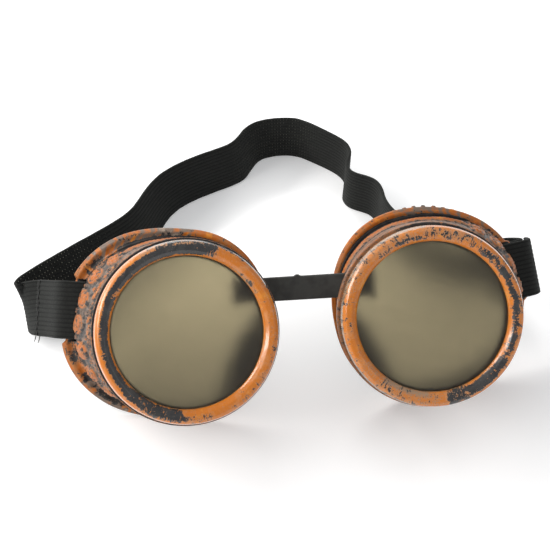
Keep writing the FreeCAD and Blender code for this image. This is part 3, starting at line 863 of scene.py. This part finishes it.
def make_cup(name, material):
    points, paint, grey, stroke = cup_grid(name)
    side = CUPS[name]["side"]
    if side < 0:
        points = points * np.array([-1, 1, 1])
        stroke = stroke * np.array([-1, 1, 1]) + np.array([40, 17, 5])
    piece = surface("eye_cup_" + name + "_shell", points, material,
                    {"paint": paint, "grey": grey, "stroke": stroke}, flip=side < 0)
    x, y, z = STRAP_CUT_AT
    cut(piece, cutter_box((side * x, y, z), ((1, 0, 0), (0, 1, 0), (0, 0, 1)), STRAP_CUT))
    left, right, along, across, through = bridge_frame()
    mouth = left if name == "left" else right
    to_cup = cup_matrix(name).inverted()
    turn = to_cup.to_3x3()
    axes = [turn @ d for d in (along, across, through)]
    centre = to_cup @ ((mouth - along * side * -3.0) * MM) / MM
    cut(piece, cutter_box(centre, axes, (BRIDGE_CUT_LENGTH, BRIDGE_W + BRIDGE_PLAY, BRIDGE_T + BRIDGE_PLAY)))
    drop_crumbs(piece)
    piece.data.shade_smooth()
    place_in_cup(piece, name, name + "_cup")
    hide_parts("eye_cup_" + name)


# ---- Elastic ----
def natural_spline(points, params):
    """A smooth curve through points: returns a function of the parameter."""
    n = len(points)
    h = np.diff(params)
    system = np.zeros((n, n))
    target = np.zeros((n, 3))
    system[0, 0] = system[-1, -1] = 1
    for k in range(1, n - 1):
        system[k, k - 1:k + 2] = h[k - 1], 2 * (h[k - 1] + h[k]), h[k]
        target[k] = 6 * ((points[k + 1] - points[k]) / h[k] - (points[k] - points[k - 1]) / h[k - 1])
    bend = np.linalg.solve(system, target)

    def at(u):
        k = np.clip(np.searchsorted(params, u, side="right") - 1, 0, n - 2)
        a, b = (params[k + 1] - u)[:, None], (u - params[k])[:, None]
        hk = h[k][:, None]
        return ((bend[k] * a ** 3 + bend[k + 1] * b ** 3) / (6 * hk)
                + (points[k] / hk - bend[k] * hk / 6) * a + (points[k + 1] / hk - bend[k + 1] * hk / 6) * b)

    return at


def strap_rows(name):
    """The whole elastic's centre line and sideways width, from the sewn end to the middle of the back."""
    up = cup_axes(name)[1]
    rows = []
    for x, z in LOOPS[name]:
        p = to_table(name, (x, STRAP_SLOT_Y, z))
        rows.append((*p, up.x, up.y))
    for x, y, z, wx, wy in BANDS[name]:
        rows.append((x + STAND.x, y + STAND.y, z + STAND.z, wx, wy))
    return np.array(rows)


def strap_stations(name, first, last, step=0.5):
    """Evenly spaced centre, tangent, width and normal between two rows, and the length so far."""
    rows = strap_rows(name)
    params = run_along(rows[:, :3])
    curve = natural_spline(rows[:, :3], params)
    fine = np.linspace(params[first], params[last], 4000)
    path = curve(fine)
    run = run_along(path)
    count = int(round(run[-1] / step))
    u = np.interp(np.linspace(0, run[-1], count + 1), run, fine)
    centre = curve(u)
    tangent = unit(curve(np.minimum(u + 0.05, params[-1])) - curve(np.maximum(u - 0.05, 0)))
    wx, wy = np.interp(u, params, rows[:, 3]), np.interp(u, params, rows[:, 4])
    across = np.stack([wx, wy, np.sqrt(1 - wx ** 2 - wy ** 2)], -1)
    across = unit(across - tangent * np.sum(across * tangent, axis=1)[:, None])
    return centre, tangent, across, np.cross(tangent, across), np.linspace(0, run[-1], count + 1)


def ribbon_section():
    """Offsets along the width and the thickness, and a mark for the inner face, round the ribbed section."""
    lanes = np.linspace(-0.5, 0.5, RIBS * 8 + 1)
    rib = RIB_H * (np.abs(np.cos(np.pi * RIBS * (lanes + 0.5))) ** 0.6 - 0.5)
    half = BAND_T / 2 - RIB_H / 2
    selvedge = 1 - 0.75 * ease(0.484, 0.5, np.abs(lanes))
    outer = np.stack([lanes * BAND_W, (half + rib) * selvedge, np.zeros(len(lanes))], -1)
    inner = np.stack([lanes[::-1] * BAND_W, -(half + rib) * selvedge, np.ones(len(lanes))], -1)
    return np.concatenate([outer, inner])


def dot_share(name, run):
    """How much the pale rubber shows along the band: near the left cup and a little at the back."""
    near_cup = ease(62, 30, run) if name == "left" else 0 * run
    return near_cup + 0.35 * ease(118, 134, run)


def make_ribbon(piece_name, name, first, last, start_run, dots, material):
    """A closed woven band between two rows of the strap, and its centre line in metres."""
    centre, tangent, across, normal, run = strap_stations(name, first, last)
    section = ribbon_section()
    run = run + start_run
    wobble = 0.12 * run_noise(run, 0.35, 3, 7)
    cup = 0.18 * run_noise(run, 0.06, 9, 9)
    share = section[:, 0] / (BAND_W / 2)
    w = section[:, 0][None, :] * (1 + wobble / BAND_W)[:, None]
    h = section[:, 1][None, :] + cup[:, None] * (1 - share ** 2)[None, :]
    points = centre[:, None] + across[:, None] * w[..., None] + normal[:, None] * h[..., None]
    inner = section[:, 2] if name == "right" else 1 - section[:, 2]
    shown = dot_share(name, run)[:, None] * dots * inner
    weave = np.stack([np.broadcast_to(run[:, None], w.shape), w, shown], -1)
    piece = surface(piece_name, points, material, {"weave": weave}, close_i=False)
    close_tube(piece, *w.shape)
    return piece, centre * MM


def close_tube(piece, ni, nj):
    """Cap both ends of a tube made by surface()."""
    with edited(piece.data) as work:
        verts = list(work.verts)
        work.faces.new(verts[:nj])
        work.faces.new(verts[:(ni - 1) * nj - 1:-1])
        bmesh.ops.recalc_face_normals(work, faces=work.faces)
    piece.data.set_sharp_from_angle(angle=math.radians(55))


def tube(path, radius, sides=8):
    """Verts and faces of a round thread along points, in millimetres."""
    path = np.array(path, float)
    tangent = unit(np.gradient(path, axis=0))
    side = unit(np.cross(tangent, (0.31, 0.53, 0.79)))
    other = np.cross(tangent, side)
    a = np.arange(sides) * TAU / sides
    fat = radius * np.sin(np.linspace(0.25, math.pi - 0.25, len(path))) ** 0.4
    ring = side[:, None] * np.cos(a)[None, :, None] + other[:, None] * np.sin(a)[None, :, None]
    points = path[:, None] + ring * fat[:, None, None]
    faces = []
    last = (len(path) - 1) * sides
    for low in range(0, last, sides):
        for j in range(sides):
            k = (j + 1) % sides
            faces.append((low + j, low + k, low + sides + k, low + sides + j))
    faces.append(tuple(reversed(range(sides))))
    faces.append(tuple(range(last, last + sides)))
    return points.reshape(-1, 3), faces


def mesh_piece(name, parts, material):
    """One mesh from several (verts, faces) parts, in millimetres."""
    verts, faces = [], []
    for part_verts, part_faces in parts:
        base = len(verts)
        verts.extend(part_verts)
        faces.extend(tuple(base + i for i in f) for f in part_faces)
    return put_mesh(name, verts, faces, material)


STITCHES = 11
STITCH_HALF = 0.75
STITCH_R = 0.2
# The stitches stand 1.6 mm from the sewn end: this many stations, this far apart.
STITCH_STATION = 4
STATION_STEP = 0.4
# Loose thread ends: place along the loop, lean and length, mm.
LOOSE_ENDS = ((-0.6, 0.35, 2.3), (2.1, 0.5, 2.6))


def make_stitching(name, material):
    """The line of stitches that holds the loop's sewn end, and on the left the two loose thread ends."""
    centre, tangent, across, normal, _ = strap_stations(name, 0, 1, STATION_STEP)
    parts = []
    c, t, w, n = (values[STITCH_STATION] for values in (centre, tangent, across, normal))
    outward = n if (Vector(n) @ cup_axes(name)[2]) > 0 else -n
    for k in range(STITCHES):
        y = BAND_W * ((k + 0.5) / STITCHES - 0.5)
        run = np.linspace(-STITCH_HALF, STITCH_HALF, 7)
        lift = BAND_T / 2 + 0.02 + 0.16 * (1 - (run / STITCH_HALF) ** 2)
        path = c + w * y + w[None, :] * run[:, None] + t * 0.25 * (-1) ** k + outward[None, :] * lift[:, None]
        parts.append(tube(path, STITCH_R))
    if name == "left":
        for shift, lean, length in LOOSE_ENDS:
            s = np.linspace(0, 1, 9)[:, None]
            start = c - w * (BAND_W / 2 - 0.6) + t * shift + outward * (BAND_T / 2 + 0.05)
            path = start - w * (length * s + 0.4) - t * lean * s ** 2 * 1.6 + outward * 0.1 * s
            parts.append(tube(path, 0.17))
    return mesh_piece("loop_stitches_" + name, parts, material)


def make_strap(name, band_material, thread_material):
    """One side's loop, stitching and half of the headband."""
    last_loop = len(LOOPS[name]) - 1
    last_band = len(strap_rows(name)) - 1
    loop, loop_path = make_ribbon("elastic_loop_" + name, name, 0, last_loop, 0.0, 0.0, band_material)
    band, band_path = make_ribbon("elastic_band_" + name, name, last_loop, last_band, 1.9, 1.0, band_material)
    stitches = make_stitching(name, thread_material)
    for piece in (loop, stitches):
        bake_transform(piece)
    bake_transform(band)
    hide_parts("headband_loop_" + name)
    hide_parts("loop_stitching_" + name)
    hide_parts("headband_" + name)


# ---- Bridge ----
def bridge_section(half_w, half_t):
    """A rounded flat section with a slightly raised edge bead."""
    outline = rounded([(-half_w, -half_t, 0.55), (half_w, -half_t, 0.55), (half_w, half_t, 0.55),
                       (-half_w, half_t, 0.55)], 0.35)
    bead = 0.1 * hill(np.abs(outline[:, 0]) - half_w + 0.8, 0.5)
    outline[:, 1] += np.sign(outline[:, 1]) * bead * (np.abs(outline[:, 1]) > half_t * 0.9)
    return outline


def make_bridge(name, material):
    """One half of the flexible strip, from the middle to the end of its tail inside the cup."""
    left, right, along, across, through = bridge_frame()
    mouth, way = (left, -1) if name == "left" else (right, 1)
    half = (right - left).length / 2
    total = half + BRIDGE_TAILS[name]
    steps = int(total / 0.4)
    s = np.linspace(-0.05, total, steps + 1)
    base = bridge_section(BRIDGE_W / 2, BRIDGE_T / 2 - 0.08)
    stop = ease(total - 1.9, total - 1.3, s)
    nub = ease(1.0, 0.6, np.abs(s - NUB_AT)) if name == "left" else 0 * s
    wide = np.repeat(base[None, :, 0], len(s), 0)
    wide = wide * (1 + 0.2 * stop[:, None]) + 0.5 * nub[:, None] * (base[None, :, 0] > BRIDGE_W / 2 - 0.9)
    thick = np.repeat(base[None, :, 1], len(s), 0)
    origin = np.array((left + right) / 2)
    a, w, n = np.array(along) * way, np.array(across), np.array(through)
    points = origin + a * s[:, None, None] + w * wide[..., None] + n * thick[..., None]
    piece = surface("bridge_half_" + name, points, material, close_i=False)
    close_tube(piece, *wide.shape)
    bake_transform(piece)
    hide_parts("bridge_tail_" + name, "bridge_strip")


# ---- Stage ----
CAMERA_AT = (-0.01942, -0.25324, 0.28973)
CAMERA_AZIMUTH, CAMERA_ELEVATION = 4.7, 48.0
CAMERA_LENS = 65.45
# The long lamps round the left and the back: place and power.
KEYS = (((-0.84, -0.16, 0.5), 5.6), ((-0.7, 0.38, 0.56), 4.8), ((-0.2, 0.8, 0.56), 4.0))
KEY_TARGET = (0.0, -0.03, 0.03)
KEY_SIZE = (0.6, 0.16)
KEY_TINT = (1.0, 0.985, 0.96)
FILL_AT = (0.55, -0.35, 0.6)
FILL_SIZE = (0.45, 0.45)
FILL_POWER = 0.5
WORLD_COLOUR = (0.97, 0.985, 1.0, 1)
WORLD_STRENGTH = 0.62
FLOOR_HALF = 30.0


def look_along(at, azimuth, elevation):
    """A matrix for a camera or lamp that looks down its own -Z, azimuth 0 towards +Y."""
    tilt = Matrix.Rotation(math.radians(90 - elevation), 4, "X")
    turn = Matrix.Rotation(math.radians(-azimuth), 4, "Z")
    return Matrix.Translation(at) @ turn @ tilt


def make_camera():
    camera = put("camera", bpy.data.cameras.new("camera"))
    bpy.context.scene.camera = camera
    camera.data.sensor_width = 36.0
    camera.data.lens = CAMERA_LENS
    camera.matrix_world = look_along(Vector(CAMERA_AT), CAMERA_AZIMUTH, CAMERA_ELEVATION)


def make_lamp(name, at, target, size, power, tint=(1, 1, 1)):
    lamp = put(name, bpy.data.lights.new(name, "AREA"))
    lamp.data.shape = "RECTANGLE"
    lamp.data.size, lamp.data.size_y = size
    lamp.data.energy = power
    lamp.data.color = tint
    direction = Vector(target) - Vector(at)
    lamp.matrix_world = Matrix.Translation(at) @ direction.to_track_quat("-Z", "Y").to_matrix().to_4x4()


def make_stage():
    """The pale floor, the lamps and the world."""
    n = Nodes("table")
    speck = n.noise(n.place(), 0.05, 2.0)
    n.set(base_color=n.mix(speck, (0.90, 0.90, 0.905, 1), (0.92, 0.92, 0.925, 1)), roughness=0.6)
    n.set(specular_ior_level=0.15, emission_color=(1.0, 1.0, 1.0, 1), emission_strength=0.2)
    mesh = bpy.data.meshes.new("table")
    with edited(mesh) as work:
        bmesh.ops.create_grid(work, x_segments=8, y_segments=8, size=FLOOR_HALF)
    mesh.materials.append(n.material)
    floor = put("table", mesh)
    world = bpy.data.worlds.new("studio")
    world.use_nodes = True
    background = world.node_tree.nodes["Background"]
    background.inputs["Color"].default_value = WORLD_COLOUR
    background.inputs["Strength"].default_value = WORLD_STRENGTH
    bpy.context.scene.world = world
    for k, (at, power) in enumerate(KEYS):
        make_lamp("key_%d" % k, at, KEY_TARGET, KEY_SIZE, power, KEY_TINT)
    make_lamp("fill", FILL_AT, (0.0, 0.0, 0.0), FILL_SIZE, FILL_POWER)
    view = bpy.context.scene.view_settings
    view.view_transform = "Standard"
    view.look = "None"


# ---- Build ----
def dress_cad_nodes():
    """The lens stack keeps its CAD shapes and gets finished materials."""
    finishes = {
        "dark_lens": tinted_lens(),
        "clear_lens": clear_lens(),
        "lens_spacer": plain_grain("fibre_ring", colour(70, 62, 50), colour(96, 86, 70), 0.85, 2.0),
        "lens_gasket": plain_grain("gasket_rubber", colour(20, 20, 20), colour(34, 34, 33), 0.7, 3.0),
    }
    for kind, material in finishes.items():
        for name in CUPS:
            node = frame["nodes"][kind + "_" + name]
            node.data.materials.clear()
            node.data.materials.append(material)


def build():
    make_camera()
    make_stage()
    bezel_paint = painted(
        "bezel_copper_paint",
        orange=colour(194, 108, 14), worn=colour(196, 138, 90), grey=colour(146, 122, 98),
        pale=colour(160, 140, 120), streak=(2.0, 2.0, 0.85), rough=(2.0, 2.5, 2.3),
        coat=0.55, roughness=0.13, gloss=0.35)
    # The cups' pale colour is partly worn beige paint and partly painted light on the flange's brow and low
    # side.
    cup_paint = painted(
        "cup_copper_paint",
        orange=colour(166, 88, 22), worn=colour(152, 106, 64), grey=colour(108, 92, 80),
        pale=colour(138, 121, 106), streak=(0.8, 0.8, 1.0), rough=(1.6, 1.7, 1.2),
        coat=0.06, roughness=0.34, gloss=0.22)
    woven = elastic()
    thread = plain_grain("sewing_thread", colour(24, 24, 24), colour(40, 40, 38), 0.8, 4.0)
    vinyl = moulded_vinyl()
    for name in CUPS:
        make_cup(name, cup_paint)
        make_bezel(name, bezel_paint)
        make_strap(name, woven, thread)
        make_bridge(name, vinyl)
    dress_cad_nodes()


build()
bpy.context.view_layer.update()
